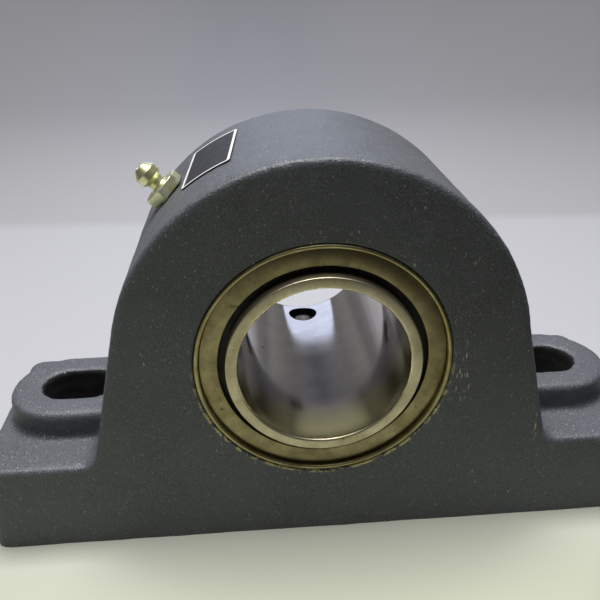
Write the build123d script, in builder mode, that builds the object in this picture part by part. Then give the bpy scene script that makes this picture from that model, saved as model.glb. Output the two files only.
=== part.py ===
from build123d import *
import os
from math import asin, atan, cos, hypot, pi, radians, sin, sqrt, tan

# Pillow block bearing: a one-piece cast housing round a self-aligning bearing with two rows of rollers.
# The shaft runs along Y and the base stands on Z = 0. The origin is on the underside of the base,
# midway between the two bolt slots and straight below the centre of the bearing.
# The end without a collar faces -Y. All sizes are in millimetres.
# The sizes run outwards from the shaft: bore, inner ring, rollers, outer ring, housing, feet.
os.makedirs("parts", exist_ok=True)

# Inner ring and its sleeve
bore_diameter = 44.47
sleeve_wall = 3.065
raceway_wall = 6.025
inner_ring_front_stand_out = 1.2
inner_ring_rear_stand_out = 0.1
sleeve_bore_chamfer = 0.9
sleeve_edge_radius = 0.8
rib_height = 1.3
rib_width = 2.0
rib_clearance = 0.15
rib_fall = 1.5

# Rollers, cages and the guide ring between the rows
roller_diameter = 10.0
roller_length = 9.6
roller_spacing = 2.8
roller_crown_relief = 1.0
roller_end_chamfer = 0.4
running_gap = 0.12
cage_section = 3.8
cage_rim_width = 2.2
cage_prong_setback = 0.6
pocket_gap = 0.25
guide_ring_width = 3.6
guide_ring_height = 6.4
guide_ring_gap = 0.15

# Outer ring
outer_ring_wall = 4.0
outer_ring_margin = 1.71
outer_ring_chamfer = 1.0
oil_groove_width = 4.0
oil_groove_depth = 1.0
oil_hole_diameter = 2.4
oil_hole_count = 3

# Anti-rotation pin, lying half in the housing and half in the outer ring
lock_pin_diameter = 4.0
lock_pin_length = 10.0
lock_pin_chamfer = 0.4

# Seals, from the sleeve outwards: gap to the flange and washer, floating seal, room round it, carrier
flange_gap = 2.0
washer_gap = 1.9
seal_height = 5.3
seal_width = 5.0
seal_lip_height = 1.0
seal_lip_width = 0.9
room_round_seal = 1.45
room_beside_seal = 1.3
carrier_wall = 1.2
carrier_rim_radius = 0.5
washer_thickness = 1.2
washer_recess = 1.35
washer_edge_chamfer = 0.7
seal_opening_chamfer = 0.55
shoulder_height = 4.53
shoulder_relief_depth = 4.0

# Retaining ring behind the rear seal carrier
snap_ring_thickness = 2.0
snap_ring_depth_in_groove = 1.8
snap_ring_width = 5.6
snap_ring_gap_angle = 26.0
snap_ring_ear_diameter = 4.8
snap_ring_ear_hole = 2.4
snap_groove_land = 1.35
snap_groove_slack = 0.2

# Housing
centre_height = 53.98
arch_wall = 11.27
flank_angle = 13.3
foot_fillet = 4.0
slab_thickness = 26.2
slab_corner_radius = 4.0
casting_edge_radius = 1.6
underside_chamfer = 0.8
grease_way_diameter = 3.0

# Slotted feet
slot_from_arch = 16.6
slot_length = 21.0
slot_width = 15.0
pad_height = 8.1
pad_margin = 8.2
pad_end_margin = 3.8
pad_edge_radius = 1.4
pad_root_fillet = 2.4

# Locking collar and set screws
collar_gap = 6.9
collar_width = 13.5
collar_wall = 9.595
collar_chamfer = 1.2
set_screw_diameter = 9.52
set_screw_length = 10.0
set_screw_recess = 1.9
set_screw_socket = 4.76
set_screw_socket_depth = 5.0
set_screw_chamfer = 0.9
set_screw_angles = (-90, 30)
sleeve_hole_clearance = 0.24

# Grease fitting on the left shoulder
fitting_angle = 45.0
fitting_thread_diameter = 6.2
fitting_thread_length = 7.0
fitting_hex = 10.0
fitting_hex_height = 2.8
fitting_neck_diameter = 4.4
fitting_head_diameter = 6.5
fitting_head_height = 4.6
fitting_head_taper = 1.4
fitting_head_band = 0.9
fitting_neck_height = 3.0
fitting_lead = 0.6
check_ball_diameter = 2.4
check_ball_depth = 2.1
ball_side_gap = 0.2
ball_seat_overlap = 0.3
spring_wire = 0.3
spring_side_gap = 0.3
spring_turns = 5
spring_seat_height = 2.0

# Nameplate, left blank
nameplate_length = 31.0
nameplate_width = 15.5
nameplate_thickness = 0.5
nameplate_gap = 0.9
nameplate_offset = 4.0
nameplate_corner_radius = 1.2

# Clearances, how far a cut runs past what it cuts, and how near an edge lies to be chosen
fit_gap = 0.03
seat_gap = 0.05
past = 1.0
near = 0.01

# Radii that follow, from the shaft outwards
bore_radius = bore_diameter / 2
sleeve_radius = bore_radius + sleeve_wall
roller_radius = roller_diameter / 2
outer_raceway_radius = bore_radius + raceway_wall + roller_diameter + 2 * running_gap
outer_ring_radius = outer_raceway_radius + outer_ring_wall
housing_bore_radius = outer_ring_radius + fit_gap
shoulder_inner_radius = housing_bore_radius - shoulder_height
arch_radius = housing_bore_radius + arch_wall
flange_inner_radius = sleeve_radius + flange_gap
washer_inner_radius = sleeve_radius + washer_gap
seal_inner_radius = sleeve_radius + seat_gap
seal_outer_radius = sleeve_radius + seal_height
carrier_bore_radius = seal_outer_radius + room_round_seal
carrier_radius = carrier_bore_radius + carrier_wall
seal_opening_radius = carrier_radius + fit_gap

# A row of rollers lies on a cone: its middle is at (row_place, row_radius) in the half section, and the
# rollers' axes lean, so that each barrel follows the spherical raceway and the guide ring fits between
half_roller = roller_length / 2
roller_profile_radius = outer_raceway_radius - roller_crown_relief
row_distance = outer_raceway_radius - running_gap - roller_radius
half_space = guide_ring_width / 2 + guide_ring_gap
lean = asin(half_space / hypot(row_distance, half_roller)) + atan(half_roller / row_distance)
row_place = row_distance * sin(lean)
row_radius = row_distance * cos(lean)
roller_count = int(2 * pi * row_radius / (roller_diameter + roller_spacing))


def in_row(along, out):
    """A point of the rear row's half section, from its distances along and out from a roller's axis."""
    place = row_place + along * cos(lean) + out * sin(lean)
    radius = row_radius - along * sin(lean) + out * cos(lean)
    return (place, radius)


def barrel_height(along):
    """The roller's own radius at a distance from its middle."""
    crown_centre = roller_radius - roller_profile_radius
    return crown_centre + sqrt(roller_profile_radius**2 - along**2)


def on_raceway(along):
    """A point of the inner ring's raceway, which follows the barrel at the running gap."""
    crown_centre = roller_profile_radius - roller_radius
    return in_row(along, crown_centre - sqrt((roller_profile_radius + running_gap) ** 2 - along**2))


# Places along the shaft that follow, from the bearing's centre to both ends
outer_ring_face = in_row(half_roller, barrel_height(half_roller))[0] + outer_ring_margin
relief_face = outer_ring_face + shoulder_relief_depth
flange_inner_face = relief_face + carrier_wall
seal_near_face = flange_inner_face + room_beside_seal
seal_far_face = seal_near_face + seal_width
washer_inner_face = seal_far_face + room_beside_seal
washer_outer_face = washer_inner_face + washer_thickness
rear_face = washer_outer_face + washer_recess
front_face = -rear_face
housing_depth = rear_face - front_face
snap_ring_face = rear_face - snap_groove_land - snap_ring_thickness
collar_front = rear_face + collar_gap
collar_rear = collar_front + collar_width
screw_place = (collar_front + collar_rear) / 2
ring_front = front_face - inner_ring_front_stand_out
ring_rear = collar_rear + inner_ring_rear_stand_out

bearing_axis = Axis((0, 0, centre_height), (0, 1, 0))
# Half section through the bearing: local x runs along the shaft and local y out from its centre line
section = Plane(origin=(0, 0, centre_height), x_dir=(0, 1, 0), z_dir=(1, 0, 0))
fitting_direction = Vector(-sin(radians(fitting_angle)), 0, cos(radians(fitting_angle)))
fitting_plane = Plane(
    origin=Vector(0, 0, centre_height) + fitting_direction * arch_radius,
    x_dir=(0, 1, 0),
    z_dir=fitting_direction,
)


def front_view(along_shaft):
    """The plane across the shaft at a place along it, seen from the front, with its centre on the shaft."""
    return Plane(origin=(0, along_shaft, centre_height), x_dir=(1, 0, 0), z_dir=(0, -1, 0))


def radial_plane(angle, along_shaft, distance):
    """A plane facing out from the shaft's centre line, at an angle counted as seen from the front."""
    out = Vector(cos(radians(angle)), 0, sin(radians(angle)))
    centre = Vector(0, along_shaft, centre_height)
    return Plane(origin=centre + out * distance, x_dir=(0, 1, 0), z_dir=out)


def profile_plane(plane):
    """The plane that holds another plane's z axis as its local y, for a profile that is revolved."""
    return Plane(origin=plane.origin, x_dir=plane.x_dir, z_dir=-plane.y_dir)


def circles_at(part, along_shaft, radius):
    """The circular edges of a ring at one place along the shaft and of one radius."""
    edges = part.edges().filter_by(GeomType.CIRCLE)
    here = edges.filter_by(lambda e: abs(e.center().Y - along_shaft) < near)
    return here.filter_by(lambda e: abs(e.radius - radius) < near)


def finish(part, name):
    """Labels a finished piece and writes it."""
    part.label = name
    export_step(part, f"parts/{name}.step")


# Cast housing: the slab and the arch are one profile, with the feet of the flanks filleted in it
flank = radians(flank_angle)
tangent_x = arch_radius * cos(flank)
tangent_z = centre_height + arch_radius * sin(flank)
foot_x = tangent_x + (tangent_z - slab_thickness) * tan(flank)
slot_place = arch_radius + slot_from_arch
pad_top_height = slab_thickness + pad_height
pad_half_width = slot_width / 2 + pad_margin
pad_outer_end = slot_place + slot_length / 2 + pad_margin
pad_inner_end = tangent_x - pad_half_width
half_base = pad_outer_end + pad_end_margin
pad_centre = (pad_outer_end + pad_inner_end) / 2
snap_groove_radius = housing_bore_radius + snap_ring_depth_in_groove + snap_groove_slack

with BuildPart() as housing:
    with BuildSketch(Plane.XZ) as side_profile:
        with BuildLine():
            right_side = Polyline(
                (half_base, 0),
                (half_base, slab_thickness),
                (foot_x, slab_thickness),
                (tangent_x, tangent_z),
            )
            ThreePointArc(
                (tangent_x, tangent_z),
                (0, centre_height + arch_radius),
                (-tangent_x, tangent_z),
            )
            mirror(right_side, about=Plane.YZ)
            Line((-half_base, 0), (half_base, 0))
        make_face()
        feet = side_profile.vertices().filter_by(lambda v: abs(abs(v.X) - foot_x) < near)
        fillet(feet, radius=foot_fillet)
    extrude(amount=housing_depth / 2, both=True)
    upright_edges = housing.edges().filter_by(Axis.Z)
    fillet(upright_edges.filter_by(lambda e: abs(e.center().X) > foot_x), radius=slab_corner_radius)
    # Every outer edge above the underside has the rounding of a casting
    outline = housing.edges().filter_by(lambda e: e.bounding_box().min.Z > slab_thickness / 2)
    on_a_face = outline.filter_by(lambda e: abs(abs(e.center().Y) - housing_depth / 2) < near)
    slab_ends = outline.filter_by(lambda e: abs(e.center().X) > half_base - slab_corner_radius)
    fillet(on_a_face + slab_ends.filter_by(lambda e: e not in on_a_face), radius=casting_edge_radius)
    underside = housing.faces().sort_by(Axis.Z)[0]
    chamfer(underside.edges(), length=underside_chamfer)

    # Raised feet round the slots
    with BuildSketch(Plane.XY.offset(slab_thickness)):
        with Locations((pad_centre, 0), (-pad_centre, 0)):
            SlotOverall(pad_outer_end - pad_inner_end, 2 * pad_half_width)
    extrude(amount=pad_top_height - slab_thickness)
    level_faces = housing.faces().filter_by(Plane.XY)
    pad_tops = level_faces.filter_by(lambda f: abs(f.center().Z - pad_top_height) < near)
    fillet(pad_tops.edges().filter_by(lambda e: abs(e.center().X) > foot_x), radius=pad_edge_radius)
    low_edges = housing.edges().filter_by(lambda e: abs(e.center().Z - slab_thickness) < near)
    beside_pads = low_edges.filter_by(lambda e: abs(e.center().Y) < pad_half_width + near)
    pad_roots = beside_pads.filter_by(lambda e: foot_x < abs(e.center().X) < pad_outer_end + near)
    fillet(pad_roots, radius=pad_root_fillet)
    with BuildSketch(Plane.XY):
        with Locations((slot_place, 0), (-slot_place, 0)):
            SlotOverall(slot_length, slot_width)
    extrude(amount=pad_top_height + past, mode=Mode.SUBTRACT)

    # Seal opening at the front, relief for the rollers, and the bearing's bore, open to the rear
    with BuildSketch(section):
        with BuildLine():
            Polyline(
                (front_face - past, 0),
                (front_face - past, seal_opening_radius),
                (-relief_face, seal_opening_radius),
                (-relief_face, shoulder_inner_radius),
                (-outer_ring_face, shoulder_inner_radius),
                (-outer_ring_face, housing_bore_radius),
                (rear_face + past, housing_bore_radius),
                (rear_face + past, 0),
                close=True,
            )
        make_face()
    revolve(axis=bearing_axis, mode=Mode.SUBTRACT)
    with BuildSketch(front_view(snap_ring_face)):
        Circle(snap_groove_radius)
    extrude(amount=-snap_ring_thickness, mode=Mode.SUBTRACT)
    chamfer(circles_at(housing.part, front_face, seal_opening_radius), length=seal_opening_chamfer)
    chamfer(circles_at(housing.part, rear_face, housing_bore_radius), length=seal_opening_chamfer)

    # Half of the anti-rotation pin's hole, drilled from the rear
    with BuildSketch(front_view(outer_ring_face - lock_pin_length)):
        with Locations((0, outer_ring_radius)):
            Circle(lock_pin_diameter / 2 + fit_gap)
    extrude(amount=-(rear_face - outer_ring_face + lock_pin_length + past), mode=Mode.SUBTRACT)

    # Threaded hole for the grease fitting and the way on to the oil groove
    with Locations(fitting_plane):
        Hole(fitting_thread_diameter / 2 + fit_gap, depth=fitting_thread_length + past)
        Hole(grease_way_diameter / 2, depth=arch_radius - outer_ring_radius + past)

finish(housing.part, "housing")

# Outer ring with its spherical raceway, oil groove and oil holes
raceway_edge_radius = sqrt(outer_raceway_radius**2 - outer_ring_face**2)
with BuildPart() as outer_ring:
    with BuildSketch(section):
        with BuildLine():
            Polyline(
                (-outer_ring_face, raceway_edge_radius),
                (-outer_ring_face, outer_ring_radius),
                (outer_ring_face, outer_ring_radius),
                (outer_ring_face, raceway_edge_radius),
            )
            ThreePointArc(
                (outer_ring_face, raceway_edge_radius),
                (0, outer_raceway_radius),
                (-outer_ring_face, raceway_edge_radius),
            )
        make_face()
    revolve(axis=bearing_axis)
    for face in (-outer_ring_face, outer_ring_face):
        chamfer(circles_at(outer_ring.part, face, outer_ring_radius), length=outer_ring_chamfer)
    with BuildSketch(section):
        with Locations((0, outer_ring_radius)):
            Rectangle(oil_groove_width, 2 * oil_groove_depth)
    revolve(axis=bearing_axis, mode=Mode.SUBTRACT)
    for hole in range(oil_hole_count):
        hole_angle = 90 + fitting_angle + hole * 360 / oil_hole_count
        with Locations(radial_plane(hole_angle, 0, outer_ring_radius)):
            Hole(oil_hole_diameter / 2, depth=outer_ring_radius - outer_raceway_radius + past)
    with BuildSketch(front_view(outer_ring_face - lock_pin_length)):
        with Locations((0, outer_ring_radius)):
            Circle(lock_pin_diameter / 2 + fit_gap)
    extrude(amount=-(lock_pin_length + past), mode=Mode.SUBTRACT)

finish(outer_ring.part, "outer_ring")

with BuildPart() as lock_pin:
    with BuildSketch(front_view(outer_ring_face - lock_pin_length + seat_gap)):
        with Locations((0, outer_ring_radius)):
            Circle(lock_pin_diameter / 2)
    extrude(amount=-(lock_pin_length - 2 * seat_gap))
    chamfer(lock_pin.edges().filter_by(GeomType.CIRCLE), length=lock_pin_chamfer)

finish(lock_pin.part, "lock_pin")

# One barrel roller, turned on its own axis and then copied round the shaft
roller_centre = Vector(0, row_place, centre_height + row_radius)
roller_axis = Axis(roller_centre, (0, cos(lean), -sin(lean)))
roller_section = Plane(origin=roller_centre, x_dir=(0, cos(lean), -sin(lean)), z_dir=(1, 0, 0))
chamfer_start = half_roller - roller_end_chamfer

with BuildPart() as roller:
    with BuildSketch(roller_section):
        with BuildLine():
            ThreePointArc(
                (-chamfer_start, barrel_height(chamfer_start)),
                (0, roller_radius),
                (chamfer_start, barrel_height(chamfer_start)),
            )
            Polyline(
                (chamfer_start, barrel_height(chamfer_start)),
                (half_roller, barrel_height(half_roller) - roller_end_chamfer),
                (half_roller, 0),
                (-half_roller, 0),
                (-half_roller, barrel_height(half_roller) - roller_end_chamfer),
                (-chamfer_start, barrel_height(chamfer_start)),
            )
        make_face()
    revolve(axis=roller_axis)

with BuildPart() as rear_rollers:
    for place in range(roller_count):
        add(roller.part.rotate(bearing_axis, place * 360 / roller_count))

with BuildPart() as front_rollers:
    add(rear_rollers.part)
    mirror(about=Plane.XZ, mode=Mode.REPLACE)

finish(rear_rollers.part, "rear_rollers")
finish(front_rollers.part, "front_rollers")

# Comb cages: a leaning rim outside each row, with a prong between each pair of rollers
with BuildPart() as pocket:
    with BuildSketch(roller_section):
        with BuildLine():
            Polyline(
                (-roller_length, 0),
                (-roller_length, roller_radius + pocket_gap),
                (half_roller + pocket_gap, roller_radius + pocket_gap),
                (half_roller + pocket_gap, 0),
                close=True,
            )
        make_face()
    revolve(axis=roller_axis)

with BuildPart() as rear_cage:
    with BuildSketch(section):
        with BuildLine():
            cage_end = half_roller + pocket_gap + cage_rim_width
            prong_end = half_roller - cage_prong_setback
            Polyline(
                in_row(-prong_end, -cage_section / 2),
                in_row(-prong_end, cage_section / 2),
                in_row(cage_end, cage_section / 2),
                in_row(cage_end, -cage_section / 2),
                close=True,
            )
        make_face()
    revolve(axis=bearing_axis)
    for place in range(roller_count):
        add(pocket.part.rotate(bearing_axis, place * 360 / roller_count), mode=Mode.SUBTRACT)

with BuildPart() as front_cage:
    add(rear_cage.part)
    mirror(about=Plane.XZ, mode=Mode.REPLACE)

finish(rear_cage.part, "rear_cage")
finish(front_cage.part, "front_cage")

# Inner ring: two raceways with outer ribs, and a long sleeve that takes the shaft
race_end = half_roller + rib_clearance
land_radius = on_raceway(-race_end)[1]
rib_foot = on_raceway(race_end)
rib_inner = (rib_foot[0] + rib_height * sin(lean), rib_foot[1] + rib_height * cos(lean))
rib_outer = (rib_inner[0] + rib_width, rib_inner[1])
sleeve_start = rib_outer[0] + rib_outer[1] - sleeve_radius - rib_fall
sleeve_hole_radius = set_screw_diameter / 2 + sleeve_hole_clearance

with BuildPart() as inner_ring:
    with BuildSketch(section):
        with BuildLine():
            for side, end in ((1, ring_rear), (-1, ring_front)):
                Line((0, land_radius), (side * on_raceway(-race_end)[0], land_radius))
                ThreePointArc(
                    (side * on_raceway(-race_end)[0], land_radius),
                    (side * on_raceway(0)[0], on_raceway(0)[1]),
                    (side * rib_foot[0], rib_foot[1]),
                )
                Polyline(
                    (side * rib_foot[0], rib_foot[1]),
                    (side * rib_inner[0], rib_inner[1]),
                    (side * rib_outer[0], rib_outer[1]),
                    (side * sleeve_start, sleeve_radius),
                    (end, sleeve_radius),
                    (end, bore_radius),
                    (0, bore_radius),
                )
        make_face()
    revolve(axis=bearing_axis)
    for end in (ring_front, ring_rear):
        chamfer(circles_at(inner_ring.part, end, bore_radius), length=sleeve_bore_chamfer)
        fillet(circles_at(inner_ring.part, end, sleeve_radius), radius=sleeve_edge_radius)
    for angle in set_screw_angles:
        with Locations(radial_plane(angle, screw_place, sleeve_radius + past)):
            Hole(sleeve_hole_radius, depth=sleeve_wall + 3 * past)

finish(inner_ring.part, "inner_ring")

# Guide ring that floats on the land between the two rows
inboard_end = in_row(-half_roller, 0)


def guide_half_width(radius):
    """The guide ring's half width at a radius, where it clears the leaning ends of the rollers."""
    return inboard_end[0] + (radius - inboard_end[1]) * tan(lean) - guide_ring_gap


guide_inner = land_radius + guide_ring_gap
guide_outer = guide_inner + guide_ring_height
with BuildPart() as guide_ring:
    with BuildSketch(section):
        with BuildLine():
            Polyline(
                (-guide_half_width(guide_inner), guide_inner),
                (-guide_half_width(guide_outer), guide_outer),
                (guide_half_width(guide_outer), guide_outer),
                (guide_half_width(guide_inner), guide_inner),
                close=True,
            )
        make_face()
    revolve(axis=bearing_axis)

finish(guide_ring.part, "guide_ring")

# Front seal carrier: a pressed cup whose rim shows in the housing's opening
with BuildPart() as front_seal_carrier:
    with BuildSketch(section):
        with BuildLine():
            Polyline(
                (front_face, carrier_bore_radius),
                (front_face, carrier_radius),
                (-relief_face, carrier_radius),
                (-relief_face, flange_inner_radius),
                (-flange_inner_face, flange_inner_radius),
                (-flange_inner_face, carrier_bore_radius),
                close=True,
            )
        make_face()
    revolve(axis=bearing_axis)
    fillet(circles_at(front_seal_carrier.part, front_face, carrier_radius), radius=carrier_rim_radius)

finish(front_seal_carrier.part, "front_seal_carrier")

# Rear seal carrier: it also closes the bearing's bore and stands against the outer ring
with BuildPart() as rear_seal_carrier:
    with BuildSketch(section):
        with BuildLine():
            Polyline(
                (outer_ring_face + seat_gap, shoulder_inner_radius),
                (outer_ring_face + seat_gap, outer_ring_radius),
                (snap_ring_face - seat_gap, outer_ring_radius),
                (snap_ring_face - seat_gap, carrier_radius),
                (rear_face, carrier_radius),
                (rear_face, carrier_bore_radius),
                (flange_inner_face, carrier_bore_radius),
                (flange_inner_face, flange_inner_radius),
                (relief_face, flange_inner_radius),
                (relief_face, shoulder_inner_radius),
                close=True,
            )
        make_face()
    revolve(axis=bearing_axis)
    fillet(circles_at(rear_seal_carrier.part, rear_face, carrier_radius), radius=carrier_rim_radius)

finish(rear_seal_carrier.part, "rear_seal_carrier")

# Guard washers in front of the seals, a little below the carriers' rims
washer_radius = carrier_bore_radius - fit_gap
for name, side in (("front_seal_washer", -1), ("rear_seal_washer", 1)):
    with BuildPart() as seal_washer:
        with BuildSketch(section):
            with BuildLine():
                outer_side = side * washer_outer_face
                inner_side = side * washer_inner_face
                Polyline(
                    (outer_side, washer_inner_radius),
                    (outer_side, washer_radius),
                    (inner_side, washer_radius),
                    (inner_side, washer_inner_radius),
                    close=True,
                )
            make_face()
        revolve(axis=bearing_axis)
        chamfer(circles_at(seal_washer.part, outer_side, washer_radius), length=washer_edge_chamfer)
    finish(seal_washer.part, name)

# Floating seal rings that ride on the sleeve and lean with it, between washer and flange
for name, side in (("front_seal", -1), ("rear_seal", 1)):
    near_face = side * seal_near_face
    far_face = side * seal_far_face
    near_lip = near_face + side * seal_lip_width
    far_lip = far_face - side * seal_lip_width
    with BuildPart() as seal:
        with BuildSketch(section):
            with BuildLine():
                Polyline(
                    (near_face, seal_outer_radius),
                    (near_face, seal_inner_radius),
                    (near_lip, seal_inner_radius),
                    (near_lip + side * seal_lip_height, seal_inner_radius + seal_lip_height),
                    (far_lip - side * seal_lip_height, seal_inner_radius + seal_lip_height),
                    (far_lip, seal_inner_radius),
                    (far_face, seal_inner_radius),
                    (far_face, seal_outer_radius),
                    close=True,
                )
            make_face()
        revolve(axis=bearing_axis)
    finish(seal.part, name)

# Retaining ring in the housing's groove, open at the bottom between two ears
snap_ring_radius = housing_bore_radius + snap_ring_depth_in_groove
ear_radius = snap_ring_ear_diameter / 2
ear_centre_radius = snap_ring_radius - snap_ring_width
ear_angle = snap_ring_gap_angle / 2 + ear_radius / ear_centre_radius * 180 / pi
with BuildPart() as snap_ring:
    with BuildSketch(front_view(snap_ring_face + seat_gap)):
        Circle(snap_ring_radius)
        Circle(snap_ring_radius - snap_ring_width, mode=Mode.SUBTRACT)
        with BuildLine():
            gap_half = radians(snap_ring_gap_angle / 2)
            reach = 2 * snap_ring_radius
            Polyline(
                (0, 0),
                (reach * sin(gap_half), -reach * cos(gap_half)),
                (-reach * sin(gap_half), -reach * cos(gap_half)),
                close=True,
            )
        make_face(mode=Mode.SUBTRACT)
        ear_places = [(ear_centre_radius * sin(radians(a)), -ear_centre_radius * cos(radians(a)))
                      for a in (ear_angle, -ear_angle)]
        with Locations(*ear_places):
            Circle(ear_radius)
            Circle(snap_ring_ear_hole / 2, mode=Mode.SUBTRACT)
    extrude(amount=-(snap_ring_thickness - 2 * seat_gap))

finish(snap_ring.part, "snap_ring")

# Locking collar over the rear end of the sleeve
collar_inner = sleeve_radius + fit_gap
collar_radius = collar_inner + collar_wall
with BuildPart() as locking_collar:
    with BuildSketch(front_view(collar_front)):
        Circle(collar_radius)
        Circle(collar_inner, mode=Mode.SUBTRACT)
    extrude(amount=-collar_width)
    for end in (collar_front, collar_rear):
        chamfer(circles_at(locking_collar.part, end, collar_radius), length=collar_chamfer)
    for angle in set_screw_angles:
        with Locations(radial_plane(angle, screw_place, collar_radius + past)):
            Hole(set_screw_diameter / 2 + fit_gap, depth=collar_radius - collar_inner + 3 * past)

finish(locking_collar.part, "locking_collar")

# Socket set screws with cup points, backed off from the shaft
for name, angle in zip(("lower_set_screw", "upper_set_screw"), set_screw_angles):
    tip_plane = radial_plane(angle, screw_place, bore_radius + set_screw_recess)
    with BuildPart() as set_screw:
        with BuildSketch(tip_plane):
            Circle(set_screw_diameter / 2)
        extrude(amount=set_screw_length)
        ends = set_screw.edges().filter_by(GeomType.CIRCLE)
        chamfer(ends, length=set_screw_chamfer)
        with BuildSketch(tip_plane.offset(set_screw_length)):
            RegularPolygon(set_screw_socket / 2, 6, major_radius=False)
        extrude(amount=-set_screw_socket_depth, mode=Mode.SUBTRACT)
        with BuildSketch(profile_plane(tip_plane)):
            with BuildLine():
                cup_radius = set_screw_diameter / 2 - 2 * set_screw_chamfer
                Polyline((0, -past), (cup_radius + past, -past), (0, cup_radius), close=True)
            make_face()
        revolve(axis=Axis(tip_plane.origin, tip_plane.z_dir), mode=Mode.SUBTRACT)
    finish(set_screw.part, name)

# Grease fitting: threaded end, hexagon, neck and ball head, drilled for its check ball and spring
thread_radius = fitting_thread_diameter / 2
neck_radius = fitting_neck_diameter / 2
head_radius = fitting_head_diameter / 2
ball_radius = check_ball_diameter / 2
mouth_radius = ball_radius - ball_seat_overlap
chamber_radius = ball_radius + ball_side_gap
fitting_total_height = fitting_hex_height + fitting_neck_height + fitting_head_height
ball_height = fitting_total_height - check_ball_depth
ball_seat = ball_height + sqrt(ball_radius**2 - mouth_radius**2) + fit_gap
head_start = fitting_total_height - fitting_head_height
fitting_axis = Axis(fitting_plane.origin, fitting_plane.z_dir)
with BuildPart() as grease_fitting:
    with BuildSketch(profile_plane(fitting_plane)):
        with BuildLine():
            Polyline(
                (0, -fitting_thread_length),
                (thread_radius - fitting_lead, -fitting_thread_length),
                (thread_radius, -fitting_thread_length + fitting_lead),
                (thread_radius, 0),
                (neck_radius + fitting_lead, fitting_hex_height),
                (neck_radius, fitting_hex_height + fitting_lead),
                (neck_radius, head_start),
                (head_radius, head_start + fitting_head_taper),
                (head_radius, head_start + fitting_head_taper + fitting_head_band),
                (mouth_radius + fitting_lead, fitting_total_height),
                (0, fitting_total_height),
                close=True,
            )
        make_face()
    revolve(axis=fitting_axis)
    with BuildSketch(fitting_plane.offset(seat_gap)):
        RegularPolygon(fitting_hex / 2, 6, major_radius=False)
    extrude(amount=fitting_hex_height - seat_gap)
    with BuildSketch(profile_plane(fitting_plane)):
        with BuildLine():
            Polyline(
                (0, -fitting_thread_length - past),
                (mouth_radius, -fitting_thread_length - past),
                (mouth_radius, spring_seat_height),
                (chamber_radius, spring_seat_height),
                (chamber_radius, ball_seat),
                (mouth_radius, ball_seat),
                (mouth_radius, fitting_total_height + past),
                (0, fitting_total_height + past),
                close=True,
            )
        make_face()
    revolve(axis=fitting_axis, mode=Mode.SUBTRACT)

finish(grease_fitting.part, "grease_fitting")

with BuildPart() as check_ball:
    with Locations(fitting_plane.offset(ball_height)):
        Sphere(ball_radius)

finish(check_ball.part, "check_ball")

# Spring under the check ball
spring_radius = chamber_radius - spring_side_gap - spring_wire / 2
spring_bottom = spring_seat_height + spring_wire / 2 + seat_gap
spring_reach = ball_radius + spring_wire / 2 + seat_gap
spring_top = ball_height - sqrt(spring_reach**2 - spring_radius**2)
spring_height = spring_top - spring_bottom
with BuildPart() as check_spring:
    with BuildLine() as coil:
        Helix(
            pitch=spring_height / spring_turns,
            height=spring_height,
            radius=spring_radius,
            center=fitting_plane.offset(spring_bottom).origin,
            direction=fitting_direction,
        )
    with BuildSketch(Plane(origin=coil.line @ 0, z_dir=coil.line % 0)):
        RegularPolygon(spring_wire / 2, 6)
    sweep(is_frenet=True)

finish(check_spring.part, "check_spring")

# Blank nameplate, curved to the left shoulder of the arch
plate_arc = nameplate_width / arch_radius * 180 / pi
plate_to_fitting = atan(fitting_hex / 2 / arch_radius) + nameplate_gap / arch_radius
plate_end = 90 + fitting_angle - plate_to_fitting * 180 / pi
plate_start = plate_end - plate_arc
with BuildPart() as nameplate:
    with BuildSketch(front_view(nameplate_offset)):
        with BuildLine():
            under = CenterArc((0, 0), arch_radius + seat_gap, plate_start, plate_arc)
            over = CenterArc((0, 0), arch_radius + nameplate_thickness, plate_start, plate_arc)
            Line(under @ 0, over @ 0)
            Line(under @ 1, over @ 1)
        make_face()
    extrude(amount=nameplate_length / 2, both=True)
    plate_corners = nameplate.edges().filter_by(lambda e: e.length < nameplate_thickness)
    fillet(plate_corners, radius=nameplate_corner_radius)

finish(nameplate.part, "nameplate")
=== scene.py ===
# %% [markdown]
# # Dressing a pillow block bearing
#
# A cast iron block stands on two slotted feet and holds a self-aligning roller bearing. The measured
# model gives every piece its size and its place. This lesson gives the pieces that show their cast,
# turned and pressed surfaces, and all the others their materials. It starts by loading the measured
# model and keeping its box, which is printed, and the dressed model's box is printed at the end.

# %% Load the measured model
from math import cos, degrees, pi, radians, sin, tan

import bmesh
import bpy
from mathutils import Matrix, Vector


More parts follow.
